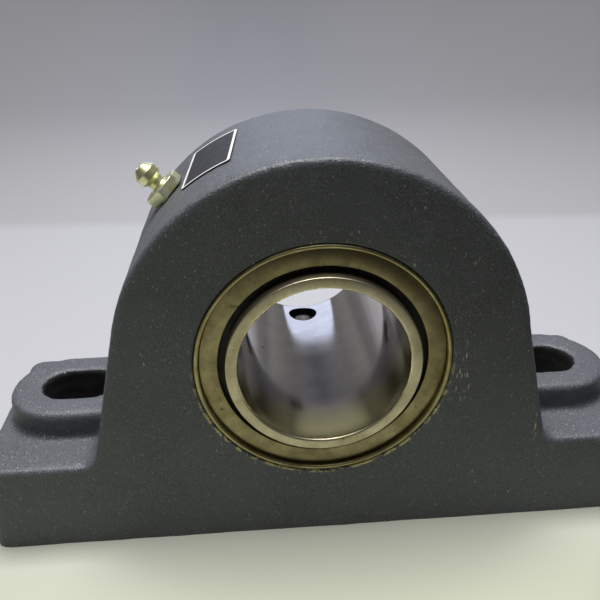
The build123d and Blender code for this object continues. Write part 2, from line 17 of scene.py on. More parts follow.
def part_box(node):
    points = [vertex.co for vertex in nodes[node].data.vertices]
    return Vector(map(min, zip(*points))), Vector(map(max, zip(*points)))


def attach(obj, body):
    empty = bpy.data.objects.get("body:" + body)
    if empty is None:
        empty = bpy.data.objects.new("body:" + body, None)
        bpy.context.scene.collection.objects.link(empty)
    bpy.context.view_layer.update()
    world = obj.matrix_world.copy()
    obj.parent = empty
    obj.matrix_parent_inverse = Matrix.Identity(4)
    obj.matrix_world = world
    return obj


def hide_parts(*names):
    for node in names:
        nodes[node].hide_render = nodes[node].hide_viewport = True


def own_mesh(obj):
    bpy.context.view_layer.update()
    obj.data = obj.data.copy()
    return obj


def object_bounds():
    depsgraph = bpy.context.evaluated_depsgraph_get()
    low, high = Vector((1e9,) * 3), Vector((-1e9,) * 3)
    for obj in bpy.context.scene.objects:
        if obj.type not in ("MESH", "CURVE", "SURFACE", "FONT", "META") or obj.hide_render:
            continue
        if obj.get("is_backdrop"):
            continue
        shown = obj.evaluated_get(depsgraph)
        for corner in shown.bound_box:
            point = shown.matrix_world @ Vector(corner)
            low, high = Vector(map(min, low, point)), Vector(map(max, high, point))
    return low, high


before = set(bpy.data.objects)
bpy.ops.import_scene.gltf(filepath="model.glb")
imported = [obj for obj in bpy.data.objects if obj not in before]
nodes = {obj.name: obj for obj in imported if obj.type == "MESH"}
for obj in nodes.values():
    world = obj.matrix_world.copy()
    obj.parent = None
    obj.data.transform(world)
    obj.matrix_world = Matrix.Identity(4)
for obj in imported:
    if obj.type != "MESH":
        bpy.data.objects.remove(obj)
cad_box = [list(corner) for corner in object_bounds()]
mm = 0.001


def in_mm(values):
    """Lengths in millimetres with two digits, to be printed."""
    return [round(value / mm, 2) for value in values]


print("measured model:", len(nodes), "nodes, box in mm:", [in_mm(corner) for corner in cad_box])

# %% [markdown]
# ## The camera
#
# The camera stands a little above the block and left of its middle, and looks down at the front face.
# Its place and turn were worked out from edges of known size: the base line, the feet of the flanks
# and the circles of the bore. Yaw, pitch and roll say it the way a photographer would.

# %% Camera
camera_place = Vector((-16.5104, -179.6463, 147.0206)) * mm
yaw, pitch, roll = 0.0700, 0.4561, -0.0172

camera_data = bpy.data.cameras.new("camera")
camera_data.sensor_width = 36
camera_data.lens = 41.547
camera_data.clip_start = 0.005
camera = bpy.data.objects.new("camera", camera_data)
bpy.context.scene.collection.objects.link(camera)
turn = (Matrix.Rotation(-yaw, 4, "Z") @ Matrix.Rotation(pi / 2 - pitch, 4, "X")
        @ Matrix.Rotation(roll, 4, "Z"))
camera.matrix_world = Matrix.Translation(camera_place) @ turn
bpy.context.scene.camera = camera
bpy.context.scene.view_settings.view_transform = "Standard"
print("camera", round(camera_place.length / mm), "mm from the floor under the block's middle")

# %% [markdown]
# ## Helpers for modelling by hand
#
# The pieces are modelled with Blender's own tools, as by hand: select something, then extrude, scale
# or bevel it. An operator works on everything that is selected, so each piece starts with nothing
# selected, and inside a piece the next edges are picked by their place.

# %% Selecting and naming
def clear_selection():
    """Leaves edit mode and selects nothing, so that the next operator touches only its own piece."""
    if bpy.context.object and bpy.context.object.mode != "OBJECT":
        bpy.ops.object.mode_set(mode="OBJECT")
    bpy.ops.object.select_all(action="DESELECT")


def select_only(piece):
    """Selects one piece and makes it the one that the operators work on."""
    clear_selection()
    bpy.context.view_layer.objects.active = piece
    piece.select_set(True)


def edit(piece):
    """Opens one piece in edit mode with all of it selected."""
    select_only(piece)
    bpy.ops.object.mode_set(mode="EDIT")
    bpy.ops.mesh.select_all(action="SELECT")


def named(name):
    """Names the primitive that was just added and puts its place into its mesh."""
    piece = bpy.context.object
    piece.name = piece.data.name = name
    bpy.ops.object.transform_apply()
    return piece


def pick(kind, rule):
    """Selects the vertices or edges of the open piece whose every end passes the rule."""
    bpy.ops.mesh.select_mode(type=kind)
    bpy.ops.mesh.select_all(action="DESELECT")
    mesh = bmesh.from_edit_mesh(bpy.context.object.data)
    for item in mesh.verts if kind == "VERT" else mesh.edges:
        ends = [item] if kind == "VERT" else item.verts
        if all(rule(end.co) for end in ends):
            item.select_set(True)
    mesh.select_flush_mode()
    bmesh.update_edit_mesh(bpy.context.object.data)


def near(value, target, tolerance=0.02 * mm):
    """True when two lengths are the same within a tolerance."""
    return abs(value - target) < tolerance


# %% Giving shapes a thickness
def tidy_normals():
    """Merges doubles in the open piece and turns its faces outwards."""
    bpy.ops.mesh.select_all(action="SELECT")
    bpy.ops.mesh.remove_doubles(threshold=0.001 * mm)
    bpy.ops.mesh.normals_make_consistent(inside=False)


def pull(step):
    """Extrudes what is selected in the open piece and moves it by a step."""
    bpy.ops.mesh.extrude_region_move(TRANSFORM_OT_translate={"value": step})


def fill_and_pull(step):
    """Fills the closed outline of the open piece and extrudes it into a solid."""
    bpy.ops.mesh.select_all(action="SELECT")
    bpy.ops.mesh.edge_face_add()
    pull(step)
    tidy_normals()


# %% Modifiers, booleans and smooth shading
def apply_modifier(piece, kind, **settings):
    """Adds one modifier to a piece, sets it and applies it."""
    select_only(piece)
    modifier = piece.modifiers.new(kind.lower(), kind)
    for setting, value in settings.items():
        setattr(modifier, setting, value)
    bpy.ops.object.modifier_apply(modifier=modifier.name)


def combine(piece, tool, operation):
    """Joins, cuts or intersects a piece with a tool, and then deletes the tool."""
    apply_modifier(piece, "BOOLEAN", operation=operation, object=tool, solver="EXACT",
                   material_mode="TRANSFER")
    bpy.data.objects.remove(tool)


def smooth_faces(piece, angle=40):
    """Shades a piece smooth, except where two faces meet at more than the angle."""
    select_only(piece)
    bpy.ops.object.shade_smooth_by_angle(angle=radians(angle))


# %% [markdown]
# ## Finishes by name
#
# Some finishes come with a shape: a drill leaves its own colour on the wall of the hole. So a piece
# names its finishes while it is modelled, and the finishes get their nodes later on.

# %% Coating
finishes = {}


def finish(name):
    """The material of a finish, which is made when it is first asked for."""
    if name not in finishes:
        finishes[name] = bpy.data.materials.new(name)
    return finishes[name]


def coat(piece, *names):
    """Gives a piece its finishes, the first one all over."""
    piece.data.materials.clear()
    for name in names:
        piece.data.materials.append(finish(name))


# %% [markdown]
# ## The sizes that the pieces share
#
# All sizes are the measured model's own. The shaft runs along Y, its centre line is 53.98 mm above
# the floor, and places along the shaft count from the bearing's middle.

# %% Sizes in metres
shaft_height = 53.98 * mm
block_low, block_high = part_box("housing")
front_face, rear_face = block_low.y, block_high.y
half_base = block_high.x
arch_radius = block_high.z - shaft_height
slab_top = 26.2 * mm
pad_top = 34.7 * mm
print("half base, front face, rear face, arch radius:",
      in_mm((half_base, front_face, rear_face, arch_radius)))

# %% [markdown]
# ## The block: outline and thickness
#
# The real block is grey iron, poured in a sand mould and dipped in enamel. Its shape is one front
# outline given a thickness, plus two raised feet. A circle gives the arch: the part below the
# tangent points is deleted, both loose ends are extruded down the flanks and round the slab, and the
# closed outline is filled and extruded along the shaft. The outline goes a little below the floor,
# like the stock that a foundry leaves for milling the base flat.

# %% Outline of the block
flank = radians(13.3)
tangent_x = arch_radius * cos(flank)
tangent_z = shaft_height + arch_radius * sin(flank)
foot_x = tangent_x + (tangent_z - slab_top) * tan(flank)
milling_stock = 2 * mm


def selected_middle():
    """The middle of the selected vertices of the open piece."""
    mesh = bmesh.from_edit_mesh(bpy.context.object.data)
    places = [v.co.copy() for v in mesh.verts if v.select]
    return sum(places, Vector()) / len(places)


def extrude_through(points):
    """Extrudes the one selected vertex to each point in turn."""
    for point in points:
        step = Vector(point) - selected_middle()
        bpy.ops.mesh.extrude_vertices_move(TRANSFORM_OT_translate={"value": step})


clear_selection()
bpy.ops.mesh.primitive_circle_add(vertices=240, radius=arch_radius, rotation=(pi / 2, 0, 0),
                                  location=(0, front_face, shaft_height))
block = named("housing_casting")
edit(block)
pick("VERT", lambda p: p.z < tangent_z - 0.1 * mm)
bpy.ops.mesh.delete(type="VERT")
for side in (-1, 1):
    pick("VERT", lambda p: p.x * side > 0 and p.z < tangent_z + 1 * mm)
    extrude_through([
        (side * foot_x, front_face, slab_top),
        (side * half_base, front_face, slab_top),
        (side * half_base, front_face, -milling_stock),
    ])
fill_and_pull((0, rear_face - front_face, 0))
print("block outline:", len(block.data.vertices), "points before editing")

# %% [markdown]
# The fillets come next, while the edges are still few and easy to pick: where the flanks meet the
# slab, at the upright corners of the slab, and all along both faces. The edges of the underside stay
# sharp, because they are milled away.

# %% Fillets of the block
flank_fillet, corner_rounding, face_rounding = 3.2 * mm, 4 * mm, 1.0 * mm
pick("EDGE", lambda p: near(abs(p.x), foot_x) and near(p.z, slab_top))
bpy.ops.mesh.bevel(offset=flank_fillet, segments=6)
pick("EDGE", lambda p: near(abs(p.x), half_base))
mesh = bmesh.from_edit_mesh(block.data)
for edge in mesh.edges:
    if edge.select and abs(edge.verts[0].co.z - edge.verts[1].co.z) < mm:
        edge.select_set(False)
bpy.ops.mesh.bevel(offset=corner_rounding, segments=6)
for face in (front_face, rear_face):
    pick("EDGE", lambda p: near(p.y, face) and p.z > slab_top / 2)
    bpy.ops.mesh.bevel(offset=face_rounding, segments=3)
clear_selection()
print("block with fillets:", len(block.data.polygons), "faces")

# %% [markdown]
# ## The raised feet and their slots
#
# Each foot is a stadium: a circle whose outer half is moved out, filled and extruded upwards. The
# slots are cast with the block, so their walls are as rough as the rest, and they are cut before the
# surface gets its grain.

# %% Stadium shapes
slot_place = arch_radius + 16.6 * mm
slot_length, slot_width = 21 * mm, 15 * mm
side_wall, end_wall, pad_rounding = 8.6 * mm, 9.2 * mm, 1.4 * mm
pad_half_width = slot_width / 2 + side_wall
pad_outer_end = slot_place + slot_length / 2 + end_wall
pad_inner_end = tangent_x - pad_half_width
pad_root, slot_low, slot_high = 10 * mm, -10 * mm, pad_top + 5 * mm


def stadium(name, side, inner_end, outer_end, half_width, bottom, top):
    """A stadium-shaped solid from one end to the other along X, on the left (-1) or right (1)."""
    clear_selection()
    middle = side * (inner_end + half_width)
    bpy.ops.mesh.primitive_circle_add(vertices=72, radius=half_width, location=(middle, 0, bottom))
    piece = named(name)
    edit(piece)
    pick("VERT", lambda p: (p.x - middle) * side > -0.01 * mm)
    stretch = side * (outer_end - inner_end - 2 * half_width)
    bpy.ops.transform.translate(value=(stretch, 0, 0))
    fill_and_pull((0, 0, top - bottom))
    return piece


for side in (-1, 1):
    pad = stadium("pad", side, pad_inner_end, pad_outer_end, pad_half_width, pad_root, pad_top)
    pick("EDGE", lambda p: near(p.z, pad_top))
    bpy.ops.mesh.bevel(offset=pad_rounding, segments=3)
    combine(block, pad, "UNION")
for side in (-1, 1):
    slot = stadium("slot", side, slot_place - slot_length / 2, slot_place + slot_length / 2,
                   slot_width / 2, slot_low, slot_high)
    combine(block, slot, "DIFFERENCE")
print("block with feet and slots:", len(block.data.polygons), "faces")

# %% [markdown]
# ## Sand-cast skin
#
# Iron takes every grain of the sand it is poured into, and the enamel rounds it off again. The block
# is remeshed into small even faces and smoothed, which also rounds the corners where the feet meet
# the slab. Cloud textures then move it in and out by up to two tenths of a millimetre, in long shallow
# waves, clumps and grains. The slots were cored, so their walls are the roughest, and a vertex group
# says where they are. At the end a straight edge takes off what stands out of the measured box.

# %% Remesh and smooth
skin_face = 0.85 * mm
apply_modifier(block, "REMESH", mode="VOXEL", voxel_size=skin_face)
apply_modifier(block, "SMOOTH", factor=0.5, iterations=5)
print("cast skin:", len(block.data.polygons), "faces")

# %% Press the sand grain into the skin
def press(piece, name, grain, depth, layers=2, where=""):
    """Moves a piece, or one vertex group of it, in and out by a cloud pattern of one grain size."""
    cloud = bpy.data.textures.new(name, "CLOUDS")
    cloud.noise_scale = grain
    cloud.noise_depth = layers
    apply_modifier(piece, "DISPLACE", texture=cloud, texture_coords="LOCAL", strength=depth,
                   mid_level=0.5, vertex_group=where)


def beside_slot(place):
    """How far a place lies outside the wall of the nearest slot; inside the slot it is below 0."""
    across = max(0, abs(abs(place.x) - slot_place) - (slot_length - slot_width) / 2)
    return Vector((across, place.y)).length - slot_width / 2


slot_walls = block.vertex_groups.new(name="slot walls")
for vertex in block.data.vertices:
    if beside_slot(vertex.co) < 1.2 * mm:
        slot_walls.add([vertex.index], 1, "REPLACE")
press(block, "mould waves", 14 * mm, 0.36 * mm, layers=1)
press(block, "sand clumps", 3.4 * mm, 0.14 * mm)
press(block, "sand grains", 1.4 * mm, 0.08 * mm, layers=0)
press(block, "cored slots", 3.6 * mm, 0.40 * mm, where="slot walls")
for vertex in block.data.vertices:
    for axis in range(3):
        vertex.co[axis] = min(vertex.co[axis], block_high[axis])
    vertex.co.x = max(vertex.co.x, block_low.x)
print("skin pressed, box top", round(max(v.co.z for v in block.data.vertices) / mm, 2))

# %% [markdown]
# ## Turned shapes
#
# Everything round in a bearing comes off a lathe, so one helper does what a lathe does: it takes the
# half section as (place, radius) points, starts with a circle at the first point, and extrudes and
# scales that circle from point to point. A ring's section is closed, and a solid's ends are filled.
# The axis is the shaft's, unless another placing is given.

# %% The lathe
bearing_placing = Matrix.Translation((0, 0, shaft_height)) @ Matrix.Rotation(-pi / 2, 4, "X")


def turned(name, section, around=256, placing=bearing_placing, solid=False):
    """A ring turned from its closed half section of (place, radius) points in mm, or a solid body."""
    clear_selection()
    place, radius = section[0]
    bpy.ops.mesh.primitive_circle_add(vertices=around, radius=radius * mm, location=(0, 0, place * mm))
    piece = named(name)
    edit(piece)
    extrude, stops = bpy.ops.mesh.extrude_edges_move, section[1:] + section[:1]
    if solid:
        bpy.ops.mesh.edge_face_add()
        bpy.ops.mesh.select_all(action="SELECT")
        extrude, stops = bpy.ops.mesh.extrude_region_move, section[1:]
    for next_place, next_radius in stops:
        extrude(TRANSFORM_OT_translate={"value": (0, 0, (next_place - place) * mm)})
        scale = next_radius / radius
        bpy.ops.transform.resize(value=(scale, scale, 1), center_override=(0, 0, next_place * mm))
        place, radius = next_place, next_radius
    tidy_normals()
    clear_selection()
    piece.data.transform(placing)
    return piece


def shaft_distance(place):
    """How far a place lies from the shaft's centre line, in metres."""
    return Vector((place.x, 0, place.z - shaft_height)).length


def round_rims(piece, rims, segments=3):
    """Rounds circular edges of a turned ring, given as (place, radius, rounding) in mm."""
    edit(piece)
    for place, radius, rounding in rims:
        pick("EDGE", lambda p: near(p.y, place * mm) and near(shaft_distance(p), radius * mm))
        bpy.ops.mesh.bevel(offset=rounding * mm, segments=segments)
    clear_selection()

# %% [markdown]
# ## Machining the block
#
# After casting, the block is milled flat underneath and bored from the rear, so these surfaces are
# smooth and their edges crisp. The bore is one turned tool taken away from the block, and the tool
# brings the finish of bare machined iron to the faces that it leaves. The enamel covers the edges
# of the openings again. The walls inside the cored slots get a near-black finish, which is painted
# shade for the shade that fills the slots.

# %% Bore and base
ring_face, relief_face, seal_opening, shoulder, bore = 14.0025, 18.0, 33.28, 38.0, 42.53
snap_groove_near, snap_groove_far, snap_groove = 26.0, 28.0, 44.53
front, rear = front_face / mm, rear_face / mm
past, chamfer = 1, 0.6
bore_tool = turned("bore_tool", [
    (front - past, seal_opening + (past + chamfer)), (front + chamfer, seal_opening),
    (-relief_face, seal_opening), (-relief_face, shoulder), (-ring_face, shoulder),
    (-ring_face, bore), (snap_groove_near, bore), (snap_groove_near, snap_groove),
    (snap_groove_far, snap_groove), (snap_groove_far, bore),
    (rear - chamfer, bore), (rear + past, bore + (past + chamfer)),
], around=288, solid=True)
coat(block, "cast_enamel")
coat(bore_tool, "machined_iron")
combine(block, bore_tool, "DIFFERENCE")
edit(block)
bpy.ops.mesh.bisect(plane_co=(0, 0, 0), plane_no=(0, 0, 1), use_fill=True, clear_inner=True)
clear_selection()
print("machined block:", len(block.data.polygons), "faces")

# %% Enamel on the edges and painted shade in the slots
block.data.materials.append(finish("slot_painted_shade"))
# Index 2 is the near-black finish of the slot walls: painted shade.
enamel, cored = 0, 2
enamelled_edge = 0.62 * mm
for face in block.data.polygons:
    if face.center.y < front_face + enamelled_edge or face.center.y > rear_face - enamelled_edge:
        face.material_index = enamel
    below_top = face.center.z < pad_top - 0.7 * mm
    if below_top and abs(face.normal.z) < 0.8 and beside_slot(face.center) < 0.9 * mm:
        face.material_index = cored
smooth_faces(block, 50)
print("finishes of the block:", [material.name for material in block.data.materials])

# %% [markdown]
# ## Seal carriers and guard washers
#
# A pressed cup, the seal carrier, sits in each opening and shows as a narrow bright rim. A flat guard
# washer lies inside it. The rear cup is deeper: it also closes the bearing's bore.

# %% Carriers and washers, front and rear
sleeve, bore_hole = 25.3, 22.235
flange_inner, washer_inner, carrier_bore, carrier = 27.3, 27.2, 32.05, 33.25
flange_face, washer_near, washer_far, washer_outer = 19.2, 26.8, 28.0, 32.02
outer_ring_side, snap_ring_face, outer_ring = 14.0525, 25.95, 42.5

front_carrier = turned("front_seal_cup", [
    (front, carrier_bore), (front, carrier), (-relief_face, carrier),
    (-relief_face, flange_inner), (-flange_face, flange_inner), (-flange_face, carrier_bore),
])
round_rims(front_carrier, [(front, carrier, 0.55), (front, carrier_bore, 0.6)], 4)
rear_carrier = turned("rear_seal_cup", [
    (outer_ring_side, shoulder), (outer_ring_side, outer_ring), (snap_ring_face, outer_ring),
    (snap_ring_face, carrier), (rear, carrier), (rear, carrier_bore), (flange_face, carrier_bore),
    (flange_face, flange_inner), (relief_face, flange_inner), (relief_face, shoulder),
])
round_rims(rear_carrier, [(rear, carrier, 0.5), (rear, carrier_bore, 0.3),
                          (snap_ring_face, outer_ring, 0.4)])

washers = []
for name, side in (("front_guard_washer", -1), ("rear_guard_washer", 1)):
    washer = turned(name, [
        (side * washer_far, washer_inner), (side * washer_far, washer_outer),
        (side * washer_near, washer_outer), (side * washer_near, washer_inner),
    ])
    round_rims(washer, [(side * washer_far, washer_outer, 0.3), (side * washer_far, washer_inner, 0.2)])
    washers.append(washer)
for piece, finish_name in ((front_carrier, "carrier_plate"), (rear_carrier, "carrier_plate"),
                           (washers[0], "washer_plate"), (washers[1], "washer_plate")):
    coat(piece, finish_name)
    smooth_faces(piece)
    print(piece.name, len(piece.data.polygons), "faces")

# %% [markdown]
# ## The inner ring
#
# The inner ring is one long hardened piece: it carries both rows of rollers in the middle and runs on
# as a sleeve under the seals and the locking collar. Its bore is ground smooth, so those faces get a
# finish of their own. Two holes near the rear end let the set screws through to the shaft. The
# bore gets extra circles along its length, so that the holes don't bend the light on the whole of it.

# %% Turn the inner ring
ring_front, ring_rear = [corner.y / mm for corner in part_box("inner_ring")]
land, rib_top, rib_start, rib_end, race_foot = 30.36, 31.2, 12.6, 14.6, 28.6
half_land, rib_slope, sleeve_start = 2.4, 0.6, 16.5
extra_circles = (48.6, 37.4, 30, 15, 0, -15)
sleeve_ring = turned("inner_ring_sleeve", [
    (ring_front, bore_hole), (ring_front, sleeve), (-sleeve_start, sleeve), (-rib_end, rib_top),
    (-rib_start, rib_top), (-rib_start + rib_slope, race_foot), (-half_land, land),
    (half_land, land), (rib_start - rib_slope, race_foot), (rib_start, rib_top),
    (rib_end, rib_top), (sleeve_start, sleeve), (ring_rear, sleeve), (ring_rear, bore_hole),
] + [(place, bore_hole) for place in extra_circles])
round_rims(sleeve_ring, [(ring_front, sleeve, 0.4), (ring_front, bore_hole, 0.7),
                         (ring_rear, sleeve, 0.8), (ring_rear, bore_hole, 0.7)], 4)
coat(sleeve_ring, "plated_steel", "ground_steel")
for face in sleeve_ring.data.polygons:
    face.material_index = 1 if shaft_distance(face.center) < (bore_hole + 0.1) * mm else 0
print("inner ring from", round(ring_front, 2), "to", round(ring_rear, 2))

# %% Drill for the set screws
screw_place, screw_radius, screw_angles = 43.0, 4.76, (-90, 30)


def radial_placing(angle, place, distance):
    """A placing whose z axis points out from the shaft at an angle seen from the front, sizes in mm."""
    turn_out = Matrix.Rotation(radians(90 - angle), 4, "Y")
    from_shaft_line = Matrix.Translation((0, place * mm, shaft_height)) @ turn_out
    return from_shaft_line @ Matrix.Translation((0, 0, distance * mm))


def drill(piece, radius, depth_from, depth_to):
    """Drills a piece for both set screws, between two distances from the shaft's centre line, in mm."""
    for angle in screw_angles:
        bit = turned("bit", [(depth_from, radius), (depth_to, radius)], 64,
                     radial_placing(angle, screw_place, 0), solid=True)
        coat(bit, "black_oxide")
        combine(piece, bit, "DIFFERENCE")


hole_clearance, thread_clearance, drill_past = 0.24, 0.03, 3
drill(sleeve_ring, screw_radius + hole_clearance, bore_hole - drill_past, sleeve + drill_past)
smooth_faces(sleeve_ring)
print("inner ring drilled:", len(sleeve_ring.data.polygons), "faces")

# %% [markdown]
# ## Locking collar
#
# The collar is a plain turned ring with chamfered edges over the rear end of the sleeve. Its two
# threaded holes hold the set screws.

# %% Turn and drill the collar
collar_front, collar_rear = [corner.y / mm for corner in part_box("locking_collar")]
collar_inner, collar = sleeve + 0.03, 34.925
collar_ring = turned("locking_collar_ring", [
    (collar_front, collar_inner), (collar_front, collar),
    (collar_rear, collar), (collar_rear, collar_inner),
])
round_rims(collar_ring, [(collar_front, collar, 1.2), (collar_rear, collar, 1.2)], 1)
round_rims(collar_ring, [(collar_rear, collar_inner, 0.3)], 2)
coat(collar_ring, "plated_steel")
drill(collar_ring, screw_radius + thread_clearance, collar_inner - drill_past, collar + drill_past)
apply_modifier(collar_ring, "BEVEL", width=0.18 * mm, segments=2, limit_method="ANGLE",
               angle_limit=radians(35))
smooth_faces(collar_ring)
print("collar:", len(collar_ring.data.polygons), "faces")

# %% [markdown]
# ## Grease fitting
#
# The hexagon is a six-sided prism whose corners are turned off, as on a bolt head. It isn't
# screwed down all the way, so a dark line shows between it and the casting. It is built upright
# and then moved to its place on the left shoulder, pointing out at 45 degrees.

# %% Turned body of the fitting
fitting_placing = radial_placing(135, 0, arch_radius / mm)
upright = Matrix.Identity(4)
mouth, chamber, thread, neck, head = 0.9, 1.4, 3.1, 2.2, 3.25
outside = [(-7.0, mouth), (-7.0, thread - 0.6), (-6.4, thread), (1.0, thread), (3.2, neck + 0.75),
           (3.5, neck + 0.3), (3.9, neck), (5.3, neck), (6.4, head), (8.4, head), (10.0, 1.9)]
passage_wall = [(10.4, 1.5), (10.4, mouth + 0.1), (10.3, mouth), (9.12, mouth), (9.12, chamber),
                (2.0, chamber), (2.0, mouth)]
fitting = turned("grease_nipple", outside + passage_wall, 96, upright)
print("turned fitting:", len(fitting.data.polygons), "faces")

# %% Hexagon of the fitting
hexagon_foot, hexagon_top, across_flats = 0.5, 3.4, 10.0
clear_selection()
bpy.ops.mesh.primitive_cylinder_add(vertices=6, radius=across_flats / 2 / cos(pi / 6) * mm,
                                    depth=(hexagon_top - hexagon_foot) * mm,
                                    location=(0, 0, (hexagon_top + hexagon_foot) / 2 * mm))
hexagon = named("hexagon")
edit(hexagon)
bpy.ops.mesh.bevel(offset=0.25 * mm, segments=3)
turned_corners = turned("turned_corners", [
    (hexagon_foot - 0.1, 5.9), (hexagon_top - 0.4, 5.9), (hexagon_top, 5.2), (hexagon_top + 0.1, 5.0),
], 96, upright, solid=True)
combine(hexagon, turned_corners, "INTERSECT")
seat = turned("seat", [(-2, thread - 0.1), (5, thread - 0.1)], 48, upright, solid=True)
combine(hexagon, seat, "DIFFERENCE")
combine(fitting, hexagon, "UNION")
fitting.data.transform(fitting_placing)
coat(fitting, "yellow_zinc")
smooth_faces(fitting, 32)
print("grease fitting:", len(fitting.data.polygons), "faces")

# %% [markdown]
# ## Check spring
#
# Under the check ball of the fitting stands a coil of fine wire, which the ball presses together when
# grease is pumped in. The wire's round section is wound up by the Screw modifier, one turn repeated
# for each coil, and both ends are closed.

# %% Wind the check spring
wire, coil_radius, coil_foot, coil_rise, turns, ball_travel = 0.3, 0.95, 2.2, 5.07, 5, 1.0
clear_selection()
bpy.ops.mesh.primitive_circle_add(vertices=10, radius=wire / 2 * mm, rotation=(pi / 2, 0, 0),
                                  location=(coil_radius * mm, 0, coil_foot * mm))
coil = named("ball_spring")
apply_modifier(coil, "SCREW", angle=2 * pi, screw_offset=coil_rise / turns * mm, iterations=turns,
               steps=28, render_steps=28)
edit(coil)
bpy.ops.mesh.fill_holes(sides=0)
tidy_normals()
clear_selection()
coil.data.transform(fitting_placing)
coat(coil, "bearing_steel")
smooth_faces(coil, 50)


def low_corner(piece):
    """The lowest corner of a piece's box, in mm."""
    return in_mm(min(v.co[axis] for v in piece.data.vertices) for axis in range(3))


print("check spring:", low_corner(coil), "measured", in_mm(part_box("check_spring")[0]))

# %% [markdown]
# ## Nameplate
#
# The nameplate is a blank piece of thin foil on the left shoulder: a dark field inside a pale border.
# A plane gets its corners rounded and a border inset, is bisected into narrow strips so that it can
# bend, and is bent to the arch's radius. It is built upright because the Bend modifier turns round
# the z axis, and then moved to its place with its own y axis pointing out from the shaft. Like most
# plates that are stuck on by hand, it sits a few degrees askew.

# %% Cut the plate and its border
plate_low, plate_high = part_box("nameplate")
plate_length = (plate_high.y - plate_low.y) / mm
plate_middle = (plate_high.y + plate_low.y) / 2 - 0.8 * mm
plate_width, plate_corner, plate_border, plate_top = 14.6, 1.1, 0.80, 54.28
plate_angle, askew = 119.9, radians(-3.7)
clear_selection()
bpy.ops.mesh.primitive_plane_add(size=1, rotation=(-pi / 2, 0, 0))
bpy.context.object.scale = (plate_width * mm, plate_length * mm, 1)
plate = named("blank_nameplate")
edit(plate)
bpy.ops.mesh.bevel(offset=plate_corner * mm, segments=5, affect="VERTICES")
bpy.ops.mesh.select_all(action="SELECT")
bpy.ops.mesh.inset(thickness=plate_border * mm)
clear_selection()
coat(plate, "plate_foil", "plate_print_and_rim_shade")
field = max(plate.data.polygons, key=lambda face: face.area)
field.material_index = 1
print("nameplate", round(plate_length, 2), "x", plate_width, "mm")

# %% Bend the plate and stick it on
strips = 16
edit(plate)
for strip in range(1, strips):
    across = (strip / strips - 0.5) * plate_width * mm
    bpy.ops.mesh.select_all(action="SELECT")
    bpy.ops.mesh.bisect(plane_co=(across, 0, 0), plane_no=(1, 0, 0))
clear_selection()
plate.data.transform(Matrix.Rotation(askew, 4, "Y"))
reach = plate_width * cos(askew) + plate_length * abs(sin(askew))
apply_modifier(plate, "SIMPLE_DEFORM", deform_method="BEND", deform_axis="Z",
               angle=-reach / plate_top)
# The rim takes the dark print finish: painted shade, for the dark line under the plate's edges.
apply_modifier(plate, "SOLIDIFY", thickness=0.7 * mm, offset=-1, material_offset_rim=1)
round_the_shaft = Matrix.Rotation(radians(270 - plate_angle), 4, "Z")
plate.data.transform(bearing_placing @ Matrix.Translation((0, 0, plate_middle)) @ round_the_shaft
                     @ Matrix.Translation((0, plate_top * mm, 0)))
smooth_faces(plate, 30)
print("nameplate:", low_corner(plate), "measured", in_mm(plate_low))

# %% [markdown]
# ## Snap ring
#
# The snap ring is stamped from spring steel: flat, open at the bottom, with an eyelet at each end for
# the pliers. A turned ring loses a wedge at the bottom and gains two drilled eyelets.

# %% Snap ring with its gap
snap_front, snap_rear = 26.05, 27.95
snap_outer, snap_width, gap_angle, eyelet, eyelet_hole = 44.33, 5.6, 26, 2.4, 1.2
snap_inner = snap_outer - snap_width
snap_ring = turned("snap_ring_stamping", [
    (snap_front, snap_inner), (snap_front, snap_outer), (snap_rear, snap_outer), (snap_rear, snap_inner),
])
wedge_reach, wedge_front, wedge_depth = 80 * mm, 20 * mm, 15 * mm
clear_selection()
bpy.ops.mesh.primitive_circle_add(vertices=3, radius=wedge_reach, rotation=(pi / 2, 0, 0),
                                  location=(0, wedge_front, shaft_height))
wedge = named("wedge")
half_gap = radians(gap_angle / 2)
corners = [(0, 0), (sin(half_gap), -cos(half_gap)), (-sin(half_gap), -cos(half_gap))]
for vertex, (x, z) in zip(wedge.data.vertices, corners):
    vertex.co = (x * wedge_reach, wedge_front, shaft_height + z * wedge_reach)
edit(wedge)
fill_and_pull((0, wedge_depth, 0))
combine(snap_ring, wedge, "DIFFERENCE")
print("snap ring with its gap:", len(snap_ring.data.polygons), "faces")

# %% Eyelets of the snap ring
eyelet_angle = gap_angle / 2 + degrees(eyelet / snap_inner)
for side in (-1, 1):
    angle = radians(-90 + side * eyelet_angle)
    here = Matrix.Translation((snap_inner * cos(angle) * mm, 0, snap_inner * sin(angle) * mm))
    for radius, reach, operation in ((eyelet, 0, "UNION"), (eyelet_hole, 1, "DIFFERENCE")):
        tool = turned("eyelet_tool", [(snap_front - reach, radius), (snap_rear + reach, radius)], 48,
                      here @ bearing_placing, solid=True)
        combine(snap_ring, tool, operation)
coat(snap_ring, "black_oxide")
smooth_faces(snap_ring)
print("snap ring:", len(snap_ring.data.polygons), "faces")

# %% [markdown]
# ## Tools for the materials
#
# Every material is built from nodes on Object coordinates, in metres, so a noise of scale 1000 has
# grains of about a millimetre. Values that are the same all over go straight on the shader's sockets.

# %% Nodes and their values
def shades(red, green, blue):
    """A colour read off a screen, 0 to 255, as the linear values that nodes work with."""
    return tuple(((c / 255 + 0.055) / 1.055) ** 2.4 if c > 10 else c / 255 / 12.92
                 for c in (red, green, blue)) + (1,)


def opened(name, **values):
    """Turns a finish's nodes on and sets its shader's own sockets; returns its tree and shader."""
    material = finish(name)
    material.use_nodes = True
    shader = material.node_tree.nodes["Principled BSDF"]
    for socket, value in values.items():
        shader.inputs[socket].default_value = value
    return material.node_tree, shader


